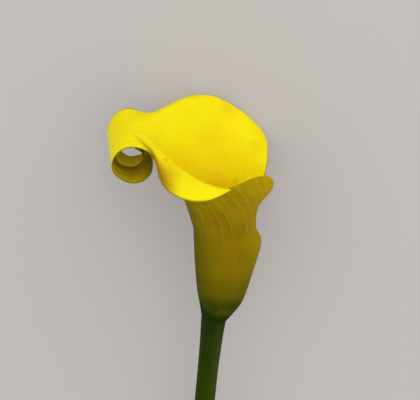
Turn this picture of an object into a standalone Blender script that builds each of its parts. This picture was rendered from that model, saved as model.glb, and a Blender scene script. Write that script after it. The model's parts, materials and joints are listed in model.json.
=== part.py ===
"""Calla lily flower, cut and laid on a table: stem, spathe and the spadix inside the spathe.

The flower is described as it grows, in millimetres: the bloom's base at (0, 0, 0), +z up the flower,
-x towards the rolled tip of the spathe and +x towards the seam where its two margins overlap.
lay() then turns it onto its back, with the stem along -Y, and the script works in metres from there.
The origin is at the middle of the bottom of the whole object.
"""

from math import asin, atan2, cos, hypot, pi, radians, sin, tan

import bmesh
import bpy
import numpy as np

MM = 0.001

# Driving dimensions, millimetres
GAP = 0.3               # clearance between pieces that touch
SPATHE_WALL = 1.0       # thickness of the spathe
BASE_HEIGHT = 27.5      # height of the bloom's base above the table
STEM_LENGTH = 174.0     # from the bloom's base to the middle of the cut
STEM_RADIUS = 4.95      # at the cut end
NECK_RADIUS = 6.0       # right under the bloom
STEM_BOW = 1.6          # sideways bend of the stem at half its length
CUT_SLANT = 24.0        # degrees, of the knife cut at the stem's end
SPADIX_LENGTH = 46.0
SPADIX_RADIUS = 3.4
BLOOM_BASE = (21.0, 34.3)   # X and Y of the bloom's base, measured from the middle of the whole object

# The flower lies on two places of the far rim of its bloom and on the lower edge of the cut.
CUT_REACH = STEM_LENGTH + STEM_RADIUS * tan(radians(CUT_SLANT))
LIE_ANGLE = asin(BASE_HEIGHT / hypot(STEM_RADIUS, CUT_REACH)) - atan2(STEM_RADIUS, CUT_REACH)

# Spathe, tube: one row of points per height.
# Angles run round the axis: 0 is the midrib side, +90 the near side, and both margins pass 180 and overlap.
TUBE_ANGLES = (-200, -160, -105, -50, 0, 50, 105, 160, 200)
LAYER = (-1.1, -0.75, -0.1, 0, 0, 0, 0.1, 0.75, 1.2)     # how far each column stands off the tube's radius
TUBE = (
    # height, centre x, radius, share of LAYER
    (0.2, 0.15, 5.75, 0.75),
    (8.0, 1.3, 8.9, 0.9),
    (20.0, 1.4, 11.9, 1.0),
    (42.4, 0.2, 14.35, 1.0),
    (49.6, -0.8, 14.75, 1.0),
    (61.0, -3.8, 16.35, 1.0),
)
# The outer margin stands off the tube once on its way up: (row, column) and the shift there.
MARGIN_WAVE = {(3, 8): (3.0, -3.5, 0.0), (3, 7): (0.5, -0.5, 0.0), (4, 8): (-0.6, 0.0, 0.0)}

# Spathe, mouth: rows from the far margin over the midrib, in the middle, to the near margin.
MOUTH = (
    ((14.0, 2, 70.5), (11.5, 11, 70.5), (-1, 19.5, 70.5), (-17, 15.5, 69.5), (-24, 0, 69.5),
     (-19, -12.5, 69.5), (-5, -17.5, 69.5), (11.5, -10.5, 69.5), (17.4, -0.5, 70.5)),
    ((16.1, 18.2, 78.6), (10, 22, 81), (-6, 25, 81), (-22.5, 17.5, 79), (-28.5, 0.5, 78),
     (-24.5, -12, 78.5), (-11, -20, 78), (9.0, -16.6, 77.2), (19.6, -5, 80.5)),
    ((12.5, 38.5, 84), (3, 33.2, 90.3), (-14, 27.5, 90.5), (-28, 17.5, 87), (-33, 1.5, 85),
     (-29, -11, 84.7), (-18, -20.8, 84.6), (-1.4, -23.9, 83.1), (10.9, -13.4, 85.5)),
    ((-2, 40, 93.4), (-10, 35, 99.4), (-24, 27, 97), (-34, 16.5, 92), (-37.2, 2.5, 89.8),
     (-33, -9, 88.5), (-25, -19.6, 88.4), (-14, -29, 83.9), (-7.4, -30.0, 80.3)),
    ((-18, 41, 97), (-22.5, 34, 101), (-31.5, 24, 98.2), (-38.5, 14, 94.8), (-41.2, 3, 92.7),
     (-37, -6.5, 91.2), (-31, -15.5, 89.9), (-25.5, -27, 86.5), (-22, -36, 81)),
    ((-31, 39.5, 91.8), (-33.5, 29.5, 97), (-38, 20, 97.4), (-42.8, 12, 96), (-45, 3, 94.2),
     (-41.7, -4.5, 92.9), (-37.3, -11.5, 91.9), (-34.5, -20, 88.8), (-33, -27.5, 84)),
    ((-41.5, 24, 93), (-42.7, 20.5, 95.4), (-45.5, 15.5, 96.3), (-48.4, 9.5, 95.9), (-49.5, 3, 94.5),
     (-46.8, -2.5, 93.4), (-43, -7.6, 92.4), (-39.5, -11.5, 91), (-38.2, -14.5, 89.6)),
)

# Spathe, rolled tip: it turns almost twice about an axis from ROLL_FAR to ROLL_NEAR and narrows to a point.
ROLL_FAR = (-49.5, 15.0, 84.5)
ROLL_NEAR = (-48.0, -10.0, 82.0)
ROLL = (
    # degrees turned at the far margin, midrib and near margin; y of far and near margin; far and near radius
    (17, 30, 0, 18.9, -10.4, 12.7, 9.5),
    (70, 80, 58, 17.8, -10.2, 12.6, 8.8),
    (127, 133, 120, 15.6, -10.0, 12.0, 9.7),
    (190, 192, 188, 16.4, -10.0, 11.3, 9.9),
    (258, 258, 258, 17.0, -10.0, 10.0, 10.2),
    (330, 330, 330, 14.8, -9.6, 9.7, 9.6),
    (405, 405, 405, 12.2, -7.6, 9.2, 8.1),
    (480, 480, 480, 10.0, -4.2, 7.9, 6.9),
    (560, 560, 560, 7.0, -1.5, 6.5, 6.0),
    (635, 635, 635, 4.6, -1.5, 5.4, 5.0),
    (710, 710, 710, 1.8, -2.0, 4.2, 3.8),
)
COLUMNS = len(TUBE_ANGLES)
CONTACT_SOFTNESS = 1.2      # how gradually the far rim flattens where it meets the table
RIM_DIP = 1.06              # how far the smooth rim sags below the points that are pressed flat

# Spadix: (share of the length, share of the radius), and the bend of its axis towards the seam side
SPADIX_PROFILE = ((0, 0.86), (0.06, 0.94), (0.2, 0.97), (0.34, 0.95), (0.4, 1.0), (0.6, 0.97),
                  (0.76, 0.9), (0.88, 0.77), (0.95, 0.58), (0.985, 0.33))
SPADIX_BEND = 1.1

# Stem: (share of the length from the bloom, radius)
STEM_PROFILE = ((0.0, NECK_RADIUS), (0.012, 6.05), (0.03, 5.95), (0.062, 5.6), (0.1, 5.35),
                (0.16, 5.1), (0.3, 4.97), (0.6, 4.93), (1.0, STEM_RADIUS))
STEM_RINGS = 22
RING_CROWDING = 1.5         # how much closer the rings stand towards the bloom
KNIFE_SIZE = 40.0           # side of the block that cuts the stem


def lay(point):
    """A point of the growing flower, in millimetres, where it lies on the table, in metres."""
    x, y, z = point
    across = BLOOM_BASE[0] + x
    along = BLOOM_BASE[1] + z * cos(LIE_ANGLE) + y * sin(LIE_ANGLE)
    height = BASE_HEIGHT - y * cos(LIE_ANGLE) + z * sin(LIE_ANGLE)
    return across * MM, along * MM, height * MM


def settle(point):
    """Presses a point of the laid spathe, in metres, softly onto the table."""
    x, y, z = point
    floor = (SPATHE_WALL / 2 + RIM_DIP) * MM
    above = z - floor
    return x, y, floor + (above + hypot(above, CONTACT_SOFTNESS * MM)) / 2


def tube_row(height, centre, radius, share):
    row = []
    for angle, layer in zip(TUBE_ANGLES, LAYER):
        reach = radius + layer * share
        row.append((centre - reach * cos(radians(angle)), -reach * sin(radians(angle)), height))
    return row


def roll_row(far_turn, mid_turn, near_turn, far_y, near_y, far_radius, near_radius):
    row = []
    for column in range(COLUMNS):
        s = column / (COLUMNS - 1)
        turn = far_turn * (1 - s) * (1 - 2 * s) + mid_turn * 4 * s * (1 - s) + near_turn * s * (2 * s - 1)
        y = far_y + (near_y - far_y) * s
        radius = far_radius + (near_radius - far_radius) * s
        along = (y - ROLL_FAR[1]) / (ROLL_NEAR[1] - ROLL_FAR[1])
        centre_x = ROLL_FAR[0] + (ROLL_NEAR[0] - ROLL_FAR[0]) * along
        centre_z = ROLL_FAR[2] + (ROLL_NEAR[2] - ROLL_FAR[2]) * along
        row.append((centre_x - radius * sin(radians(turn)), y, centre_z + radius * cos(radians(turn))))
    return row


def spathe_points():
    """Rows of points on the spathe's middle surface, from its base to its tip, as the flower lies."""
    tube = [tube_row(*row) for row in TUBE]
    for (row, column), shift in MARGIN_WAVE.items():
        tube[row][column] = tuple(np.add(tube[row][column], shift))
    rows = tube + [list(row) for row in MOUTH] + [roll_row(*row) for row in ROLL]
    return np.array([[settle(lay(point)) for point in row] for row in rows])


def cage_weights(count):
    """The matrix that turns points on a smooth line into the cage points that give that line."""
    smooth = np.eye(count)
    for i in range(1, count - 1):
        smooth[i, i - 1:i + 2] = (1 / 6, 4 / 6, 1 / 6)
    return np.linalg.inv(smooth)


def cage_through(points):
    """The cage whose subdivided surface passes through a grid of points."""
    rows, columns, _ = points.shape
    return np.einsum("ri,cj,ijk->rck", cage_weights(rows), cage_weights(columns), points)


def material(name, colour, roughness):
    mat = bpy.data.materials.new(name)
    mat.use_nodes = True
    shader = mat.node_tree.nodes["Principled BSDF"]
    shader.inputs["Base Color"].default_value = (*colour, 1)
    shader.inputs["Roughness"].default_value = roughness
    shader.inputs["Metallic"].default_value = 0.0
    return mat


def add_object(name, mesh, collection, mat):
    obj = bpy.data.objects.new(name, mesh)
    collection.objects.link(obj)
    mesh.materials.append(mat)
    return obj


def add_subdivision(obj, levels):
    modifier = obj.modifiers.new("Subdivision", "SUBSURF")
    modifier.levels = levels
    modifier.render_levels = levels
    modifier.boundary_smooth = "PRESERVE_CORNERS"


def add_spathe(collection):
    """One leaf, overlapping into a tube and rolled at its tip: a grid cage, subdivided and given its wall."""
    cage = cage_through(spathe_points())
    rows = cage.shape[0]
    bm = bmesh.new()
    bmesh.ops.create_grid(bm, x_segments=COLUMNS - 1, y_segments=rows - 1, size=1)
    for vert in bm.verts:
        column = round((vert.co.x + 1) / 2 * (COLUMNS - 1))
        row = round((vert.co.y + 1) / 2 * (rows - 1))
        vert.co = cage[row, column]
    mesh = bpy.data.meshes.new("spathe")
    bm.to_mesh(mesh)
    bm.free()
    mesh.shade_smooth()
    obj = add_object("spathe", mesh, collection, material("spathe_yellow", (0.88, 0.72, 0.03), 0.45))
    add_subdivision(obj, 2)
    wall = obj.modifiers.new("Wall", "SOLIDIFY")
    wall.thickness = SPATHE_WALL * MM
    wall.offset = 0
    return obj


def stem_centre(share):
    """The stem's centre line in the growing flower: straight below the bloom, then with a slight bow."""
    z = -GAP - (CUT_REACH + STEM_RADIUS) * share
    return STEM_BOW * sin(pi * min(1.0, -z / STEM_LENGTH)) ** 2, 0.0, z


def stem_radius(share):
    shares, radii = zip(*STEM_PROFILE)
    return float(np.interp(share, shares, radii))


def mesh_from_curve(obj):
    """A mesh with welded caps in the place of a curve object."""
    graph = bpy.context.evaluated_depsgraph_get()
    mesh = bpy.data.meshes.new_from_object(obj.evaluated_get(graph))
    bm = bmesh.new()
    bm.from_mesh(mesh)
    bmesh.ops.remove_doubles(bm, verts=bm.verts, dist=0.00001)
    bmesh.ops.recalc_face_normals(bm, faces=bm.faces)
    bm.to_mesh(mesh)
    bm.free()
    bpy.data.objects.remove(obj)
    return mesh


def add_stem(collection, cutters):
    """A tapering tube of solid flesh, cut off with one slanting stroke of a knife."""
    line = bpy.data.curves.new("stem_line", "CURVE")
    line.dimensions = "3D"
    line.bevel_depth = MM
    line.bevel_resolution = 6
    line.use_fill_caps = True
    spline = line.splines.new("POLY")
    spline.points.add(STEM_RINGS)
    for i, point in enumerate(spline.points):
        share = (i / STEM_RINGS) ** RING_CROWDING
        point.co = (*lay(stem_centre(share)), 1)
        point.radius = stem_radius(share)
    curve = bpy.data.objects.new("stem_line", line)
    collection.objects.link(curve)
    bpy.context.view_layer.update()
    mesh = mesh_from_curve(curve)
    mesh.shade_smooth()
    mesh.name = "stem"
    stem = add_object("stem", mesh, collection, material("stem_green", (0.03, 0.06, 0.005), 0.5))

    # The knife leaves the lower side of the stem longer than the upper side.
    slant = radians(CUT_SLANT)
    size = KNIFE_SIZE * MM
    bm = bmesh.new()
    bmesh.ops.create_cube(bm, size=size)
    box = bpy.data.meshes.new("knife_cut")
    bm.to_mesh(box)
    bm.free()
    cutter = bpy.data.objects.new("knife_cut", box)
    cutters.objects.link(cutter)
    tilt = LIE_ANGLE - slant
    middle = np.array(lay((stem_centre(1.0)[0], 0.0, -STEM_LENGTH)))
    middle += np.array((0, -cos(tilt), -sin(tilt))) * size / 2
    cutter.location = middle
    cutter.rotation_euler.x = tilt
    cutter.hide_render = True
    cutter.display_type = "WIRE"
    cut = stem.modifiers.new("Knife cut", "BOOLEAN")
    cut.operation = "DIFFERENCE"
    cut.solver = "EXACT"
    cut.object = cutter
    return stem


def add_spadix(collection):
    """The fleshy spike in the throat: a turned profile, bent a little to follow the tube."""
    bm = bmesh.new()
    profile = [bm.verts.new((0, 0, SPADIX_LENGTH))]
    for share, width in reversed(SPADIX_PROFILE):
        profile.append(bm.verts.new((SPADIX_RADIUS * width, 0, SPADIX_LENGTH * share)))
    profile.append(bm.verts.new((0, 0, 0)))
    for upper, lower in zip(profile, profile[1:]):
        bm.edges.new((upper, lower))
    bmesh.ops.spin(bm, geom=bm.verts[:] + bm.edges[:], cent=(0, 0, 0), axis=(0, 0, 1),
                   angle=2 * pi, steps=20, use_duplicate=False)
    bmesh.ops.remove_doubles(bm, verts=bm.verts, dist=0.001)
    bmesh.ops.recalc_face_normals(bm, faces=bm.faces)
    for vert in bm.verts:
        x, y, z = vert.co
        vert.co = lay((x + SPADIX_BEND * sin(pi / 2 * z / SPADIX_LENGTH), y, z))
    mesh = bpy.data.meshes.new("spadix")
    bm.to_mesh(mesh)
    bm.free()
    mesh.shade_smooth()
    return add_object("spadix", mesh, collection, material("spadix_gold", (0.75, 0.42, 0.02), 0.6))


def main():
    for obj in list(bpy.data.objects):
        bpy.data.objects.remove(obj)
    flower = bpy.data.collections.new("calla_lily_flower")
    cutters = bpy.data.collections.new("cutters")
    bpy.context.scene.collection.children.link(flower)
    bpy.context.scene.collection.children.link(cutters)
    add_stem(flower, cutters)
    add_spathe(flower)
    add_spadix(flower)


main()
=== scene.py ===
# %% [markdown]
# # A calla lily flower
# What looks like the petals of a calla is one leaf, the spathe, wrapped into a trumpet round a spike of
# tiny flowers, the spadix. The trumpet stands on a smooth, fleshy stem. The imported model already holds
# these three pieces at their true size and place. This lesson gives each of them the shape and the
# finish that the eye sees: a thin, veined leaf in two colours, a beaded spike and a fibrous green stem.

import json
from collections import namedtuple
from math import asin, atan2, cos, hypot, pi, radians, sin, sqrt, tan

import bpy
import numpy as np
from mathutils import Euler, Matrix, Vector, noise

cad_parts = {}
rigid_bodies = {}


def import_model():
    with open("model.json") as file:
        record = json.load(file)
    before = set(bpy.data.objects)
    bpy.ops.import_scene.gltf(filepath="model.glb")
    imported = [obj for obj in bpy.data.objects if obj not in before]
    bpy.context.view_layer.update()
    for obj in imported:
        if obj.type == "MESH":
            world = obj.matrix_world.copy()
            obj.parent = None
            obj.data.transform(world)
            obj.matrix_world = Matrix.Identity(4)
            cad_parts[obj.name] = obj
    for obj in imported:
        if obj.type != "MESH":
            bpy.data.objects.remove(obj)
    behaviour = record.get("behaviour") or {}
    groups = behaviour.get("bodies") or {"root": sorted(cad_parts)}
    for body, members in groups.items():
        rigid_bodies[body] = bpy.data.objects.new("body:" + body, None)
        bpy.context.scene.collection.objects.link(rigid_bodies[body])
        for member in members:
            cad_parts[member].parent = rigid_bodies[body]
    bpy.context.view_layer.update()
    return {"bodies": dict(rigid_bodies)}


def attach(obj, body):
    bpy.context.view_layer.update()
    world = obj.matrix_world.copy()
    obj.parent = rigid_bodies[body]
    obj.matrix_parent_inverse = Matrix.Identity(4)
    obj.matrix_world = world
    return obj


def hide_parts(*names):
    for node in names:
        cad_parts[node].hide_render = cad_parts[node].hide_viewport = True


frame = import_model()
MM = 0.001

# %% [markdown]
# ## Two ways to look at one flower
# The flower lies on its back on a table, but it is easier to describe as it grew. So every point below
# is given in millimetres on the growing flower: the bloom's base at zero, +z up the flower, -x towards
# the rolled tip and +x towards the seam. `lay` turns such a point onto the table, in metres. These
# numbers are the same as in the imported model, so each new piece lands where its solid is.

# %% From the growing flower to the table
BASE_HEIGHT = 27.5      # of the bloom's base above the table
BLOOM_BASE = (21.0, 34.3)
STEM_LENGTH = 174.0
STEM_RADIUS = 4.95      # at the cut end
STEM_BOW = 1.6
CUT_SLANT = radians(24.0)
CUT_REACH = STEM_LENGTH + STEM_RADIUS * tan(CUT_SLANT)
LIE_ANGLE = asin(BASE_HEIGHT / hypot(STEM_RADIUS, CUT_REACH)) - atan2(STEM_RADIUS, CUT_REACH)


def lay(points):
    """Points of the growing flower, in millimetres, where they lie on the table, in metres."""
    x, y, z = np.moveaxis(np.asarray(points, float), -1, 0)
    across = BLOOM_BASE[0] + x
    along = BLOOM_BASE[1] + z * cos(LIE_ANGLE) + y * sin(LIE_ANGLE)
    height = BASE_HEIGHT - y * cos(LIE_ANGLE) + z * sin(LIE_ANGLE)
    return np.stack((across, along, height), -1) * MM


UP_THE_FLOWER = Vector((0, cos(LIE_ANGLE), sin(LIE_ANGLE)))
LAID = Euler((LIE_ANGLE - pi / 2, 0, 0))      # turns the growing flower onto the table
print("the flower leans", round(LIE_ANGLE * 180 / pi, 2), "degrees off the table")


# %% Small helpers for modelling by hand
def deselect_all():
    if bpy.context.mode != "OBJECT":
        bpy.ops.object.mode_set(mode="OBJECT")
    bpy.ops.object.select_all(action="DESELECT")


def pick(obj):
    """Makes obj the only selected object, and the active one."""
    deselect_all()
    obj.select_set(True)
    bpy.context.view_layer.objects.active = obj


def apply_modifier(obj, kind, **settings):
    """Adds a modifier, sets it and applies it, as with the buttons of the modifier panel."""
    pick(obj)
    modifier = obj.modifiers.new(kind.title(), kind)
    for name, value in settings.items():
        setattr(modifier, name, value)
    bpy.ops.object.modifier_apply(modifier=modifier.name)


def vertex_places(mesh, what="co"):
    values = np.empty(len(mesh.vertices) * 3, np.float32)
    if what == "co":
        mesh.vertices.foreach_get("co", values)
    else:
        mesh.vertex_normals.foreach_get("vector", values)
    return values.reshape(-1, 3).astype(float)


def move_vertices(mesh, places):
    mesh.vertices.foreach_set("co", np.asarray(places, np.float32).ravel())
    mesh.update()


def smooth_step(x, low, high):
    t = np.clip((np.asarray(x, float) - low) / (high - low), 0, 1)
    return t * t * (3 - 2 * t)


def noise_of(points):
    """Blender's own smooth noise, from -1 to 1, at each point."""
    return np.array([noise.noise(Vector(p)) for p in points])


print("a smooth step has risen by", smooth_step(0.25, 0, 1), "after a quarter of its way")

# %% [markdown]
# ## The spathe
# A real spathe is a single leaf. It wraps its own foot so that its margins overlap, widens into a
# funnel, flares into a lip and ends in a tongue that curls under. It could be lofted from circles, but
# circles can't overlap, flare and curl as one sheet does. So the sheet is described by rows from one
# margin, over the midrib, to the other, from the foot up to the tip. A grid is pulled onto those rows
# and subdivided, and only then does it get its thickness.

# %% The rows of the leaf
TUBE_ANGLES = (-200, -160, -105, -50, 0, 50, 105, 160, 200)
LAYER = (-1.1, -0.75, -0.1, 0, 0, 0, 0.1, 0.75, 1.2)
TUBE = (
    # height, centre x, radius, share of LAYER; the first row is hidden inside the top of the stem
    (-4.0, 0.1, 4.85, 0.25),
    (0.2, 0.15, 5.75, 0.75),
    (8.0, 1.3, 8.9, 0.9),
    (20.0, 1.4, 11.9, 1.0),
    (42.4, 0.2, 14.35, 1.0),
    (49.6, -0.8, 14.75, 1.0),
    (61.0, -3.8, 16.35, 1.0),
)
MARGIN_WAVE = {(4, 8): (3.0, -3.5, 0.0), (4, 7): (0.5, -0.5, 0.0), (5, 8): (-0.6, 0.0, 0.0)}
MOUTH = (
    ((14.0, 2, 70.5), (11.5, 11, 70.5), (-1, 19.5, 70.5), (-17, 15.5, 69.5), (-24, 0, 69.5),
     (-19, -12.5, 69.5), (-5, -17.5, 69.5), (11.5, -10.5, 69.5), (17.4, -0.5, 70.5)),
    ((16.1, 18.2, 78.6), (10, 22, 81), (-6, 25, 81), (-22.5, 17.5, 79), (-28.5, 0.5, 78),
     (-24.5, -12, 78.5), (-11, -20, 78), (9.0, -16.6, 77.2), (19.6, -5, 80.5)),
    ((12.5, 38.5, 84), (3, 33.2, 90.3), (-14, 27.5, 90.5), (-28, 17.5, 87), (-33, 1.5, 85),
     (-29, -11, 84.7), (-18, -20.8, 84.6), (-1.4, -23.9, 83.1), (10.9, -13.4, 85.5)),
    ((-2, 40, 93.4), (-10, 35, 99.4), (-24, 27, 97), (-34, 16.5, 92), (-37.2, 2.5, 89.8),
     (-33, -9, 88.5), (-25, -19.6, 88.4), (-14, -29, 83.9), (-7.4, -30.0, 80.3)),
    ((-18, 41, 97), (-22.5, 34, 101), (-31.5, 24, 98.2), (-38.5, 14, 94.8), (-41.2, 3, 92.7),
     (-37, -6.5, 91.2), (-31, -15.5, 89.9), (-25.5, -27, 86.5), (-22, -36, 81)),
    ((-31, 39.5, 91.8), (-33.5, 29.5, 97), (-38, 20, 97.4), (-42.8, 12, 96), (-45, 3, 94.2),
     (-41.7, -4.5, 92.9), (-37.3, -11.5, 91.9), (-34.5, -20, 88.8), (-33, -27.5, 84)),
    ((-41.5, 24, 93), (-42.7, 20.5, 95.4), (-45.5, 15.5, 96.3), (-48.4, 9.5, 95.9), (-49.5, 3, 94.5),
     (-46.8, -2.5, 93.4), (-43, -7.6, 92.4), (-39.5, -11.5, 91), (-38.2, -14.5, 89.6)),
)
ROLL_FAR = np.array((-49.5, 15.0, 84.5))
ROLL_NEAR = np.array((-48.0, -10.0, 82.0))
ROLL = (
    # degrees turned at the far margin, midrib and near margin; y of both margins; radius at both
    (17, 30, 0, 18.9, -10.4, 12.7, 9.5),
    (70, 80, 58, 17.8, -10.2, 12.6, 8.8),
    (127, 133, 120, 15.6, -10.0, 12.0, 9.7),
    (190, 192, 188, 16.4, -10.0, 11.3, 9.9),
    (258, 258, 258, 17.0, -10.0, 10.0, 10.2),
    (330, 330, 330, 14.8, -9.6, 9.7, 9.6),
    (405, 405, 405, 12.2, -7.6, 9.2, 8.1),
    (480, 480, 480, 10.0, -4.2, 7.9, 6.9),
    (560, 560, 560, 7.0, -1.5, 6.5, 6.0),
    (635, 635, 635, 4.6, -1.5, 5.4, 5.0),
    (710, 710, 710, 1.8, -2.0, 4.2, 3.8),
)
CONTACT_SOFTNESS = 1.2
RIM_FLOOR = 1.52        # height of the leaf's middle surface where the rim is pressed onto the table


def tube_row(height, centre, radius, share):
    reach = radius + np.array(LAYER) * share
    angle = np.radians(TUBE_ANGLES)
    return np.stack((centre - reach * np.cos(angle), -reach * np.sin(angle), np.full(9, height)), -1)


def roll_row(far_turn, mid_turn, near_turn, far_y, near_y, far_radius, near_radius):
    s = np.linspace(0, 1, 9)
    turn = np.radians(far_turn * (1 - s) * (1 - 2 * s) + mid_turn * 4 * s * (1 - s)
                      + near_turn * s * (2 * s - 1))
    y = far_y + (near_y - far_y) * s
    radius = far_radius + (near_radius - far_radius) * s
    axis = ROLL_FAR + (ROLL_NEAR - ROLL_FAR) * ((y - ROLL_FAR[1]) / (ROLL_NEAR[1] - ROLL_FAR[1]))[:, None]
    return np.stack((axis[:, 0] - radius * np.sin(turn), y, axis[:, 2] + radius * np.cos(turn)), -1)


def leaf_rows():
    """The listed rows, laid on the table, with the far rim pressed softly onto it."""
    tube = [tube_row(*row) for row in TUBE]
    for (row, column), shift in MARGIN_WAVE.items():
        tube[row][column] += shift
    rows = lay(tube + [np.array(row, float) for row in MOUTH] + [roll_row(*row) for row in ROLL])
    above = rows[..., 2] - RIM_FLOOR * MM
    rows[..., 2] = RIM_FLOOR * MM + (above + np.hypot(above, CONTACT_SOFTNESS * MM)) / 2
    return rows


rows = leaf_rows()
print("rows and points per row:", rows.shape[:2])

# %% [markdown]
# A subdivided grid doesn't pass through its own corners: it cuts them, as a hose laid round posts would.
# So the grid's points are first pushed outwards, just far enough that the smooth surface comes back to
# the rows. The leaf also needs more points across than the nine of a row, for its veins, and those are
# read off the same smooth line.

# %% Cage points for a smooth leaf
ACROSS = 30             # cells of the cage across the leaf
LEVELS = 3              # of subdivision


def cage_weights(count):
    """The matrix that turns points on a smooth line into the cage points that give that line."""
    smooth = np.eye(count)
    for i in range(1, count - 1):
        smooth[i, i - 1:i + 2] = (1 / 6, 4 / 6, 1 / 6)
    return np.linalg.inv(smooth)


def line_weights(count, places):
    """The matrix that reads points off the smooth line of `count` cage points."""
    weights = np.zeros((len(places), count + 2))
    for row, place in enumerate(places):
        i = min(int(place), count - 2)
        f = place - i
        weights[row, i:i + 4] = ((1 - f) ** 3, 3 * f ** 3 - 6 * f ** 2 + 4,
                                 -3 * f ** 3 + 3 * f ** 2 + 3 * f + 1, f ** 3)
    weights /= 6
    inner = weights[:, 1:-1].copy()
    inner[:, 0] += 2 * weights[:, 0]
    inner[:, 1] -= weights[:, 0]
    inner[:, -1] += 2 * weights[:, -1]
    inner[:, -2] -= weights[:, -1]
    return inner


def leaf_cage(rows):
    count_rows, count_points, _ = rows.shape
    places = np.linspace(0, count_points - 1, ACROSS + 1)
    more = line_weights(count_points, places) @ cage_weights(count_points)
    return np.einsum("ri,cj,ijk->rck", cage_weights(count_rows), cage_weights(ACROSS + 1) @ more, rows)


cage = leaf_cage(rows)
print("cage:", cage.shape[:2])

# %% The bare sheet
ALONG = cage.shape[0] - 1


def bare_sheet():
    """A grid primitive pulled onto the cage and subdivided. Its faces look outwards."""
    deselect_all()
    bpy.ops.mesh.primitive_grid_add(x_subdivisions=ACROSS, y_subdivisions=ALONG, size=2)
    sheet = bpy.context.object
    sheet.name = sheet.data.name = "spathe_leaf"
    flat = (vertex_places(sheet.data)[:, :2] + 1) / 2
    column = np.rint(flat[:, 0] * ACROSS).astype(int)
    row = np.rint(flat[:, 1] * ALONG).astype(int)
    move_vertices(sheet.data, cage[row, column])
    apply_modifier(sheet, "SUBSURF", levels=LEVELS, render_levels=LEVELS, uv_smooth="NONE",
                   boundary_smooth="PRESERVE_CORNERS")
    return sheet


def grid_order(mesh, columns, rows):
    """For each vertex its row and column on the subdivided grid, from the map the primitive came with."""
    of_loop = np.empty(len(mesh.loops), np.int32)
    mesh.loops.foreach_get("vertex_index", of_loop)
    uv = np.empty(len(mesh.loops) * 2, np.float32)
    mesh.uv_layers.active.uv.foreach_get("vector", uv)
    places = np.zeros((len(mesh.vertices), 2))
    places[of_loop] = uv.reshape(-1, 2)
    return np.rint(places[:, 1] * rows).astype(int), np.rint(places[:, 0] * columns).astype(int)


leaf = bare_sheet()
columns, lines = ACROSS * 2 ** LEVELS, ALONG * 2 ** LEVELS
row_of, column_of = grid_order(leaf.data, columns, lines)
print("leaf:", len(leaf.data.vertices), "points")

# %% [markdown]
# ### Veins, swellings and the margin
# Veins run from the foot towards the tip. Where the leaf flares, the outer ones leave it through the
# margin, and where it narrows, the rest come together. Seen from outside each vein is a low rib, and
# from inside it is a shallow groove, so the whole sheet is moved, and not only one side. A bump in the
# finish could fake the ribs, but not where the leaf is seen edge on. The rest of the leaf is a little
# uneven as well, because it grew.

# %% Where each point is on the leaf
VEINS = 29
FAR_VEINS_LEFT = (      # share of the way along the leaf, share of the far half's veins that get so far
    (0.25, 1.0), (0.29, 0.97), (0.333, 0.91), (0.375, 0.81), (0.404, 0.71), (0.44, 0.59), (0.5, 0.47),
    (0.54, 0.43), (1.0, 0.4),
)
NEAR_VEINS_LEFT = (     # the near half's veins lean back before they reach the lip
    (0.25, 1.0), (0.29, 1.01), (0.333, 1.03), (0.36, 0.97), (0.38, 0.85), (0.41, 0.69), (0.44, 0.59),
    (0.5, 0.47), (0.54, 0.43), (1.0, 0.4),
)


def veins_left(table):
    """The table read off at each line of the leaf, with its corners rounded."""
    left = np.interp(np.arange(lines + 1) / lines, *zip(*table))
    return np.convolve(np.pad(left, 4, "edge"), np.ones(9) / 9, "valid")


def leaf_facts(mesh):
    """Per vertex: place across the veins (0 to 1), place along (0 to 1) and distance from the margin, mm."""
    grid = np.empty((lines + 1, columns + 1, 3))
    grid[row_of, column_of] = vertex_places(mesh) / MM
    steps = np.linalg.norm(np.diff(grid, axis=1), axis=2)
    from_left = np.concatenate((np.zeros((lines + 1, 1)), np.cumsum(steps, axis=1)), axis=1)
    from_side = np.minimum(from_left, from_left[:, -1:] - from_left)
    steps = np.linalg.norm(np.diff(grid, axis=0), axis=2)
    from_tip = np.concatenate((np.cumsum(steps[::-1], axis=0)[::-1], np.zeros((1, columns + 1))), axis=0)
    along = row_of / lines
    side = column_of / columns - 0.5
    left = np.where(side < 0, veins_left(FAR_VEINS_LEFT)[row_of], veins_left(NEAR_VEINS_LEFT)[row_of])
    across = 0.5 + side * left
    return across, along, np.minimum(from_side, from_tip)[row_of, column_of]


across, along, from_margin = leaf_facts(leaf.data)
on_leaf = np.stack((across, along, from_margin * MM), -1)       # the finishes read it under this name
layer = leaf.data.attributes.new("on_leaf", "FLOAT_VECTOR", "POINT")
layer.data.foreach_set("vector", on_leaf.astype(np.float32).ravel())
print("widest half:", round(from_margin.max(), 1), "mm from a margin")

# %% Veins and swellings
RIB, RIB_WIDTH = 0.1, 0.2             # height in mm; width as a share of the space between two veins
FINE_RIB, FINE_WIDTH, FINE_COUNT = 0.022, 0.25, 4
SWELLING, SWELLING_SCALE = 0.3, 38     # height in mm; bumps per metre
DIMPLE, DIMPLE_SCALE = 0.1, 110
RIPPLE, RIPPLE_SCALE, RIPPLE_REACH = 0.35, 95, 4        # of the free margin, and how far in it goes, in mm
VEIN_HEIGHTS = np.random.default_rng(3).uniform(0.25, 1.0, VEINS + 2)     # no two veins are alike


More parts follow.
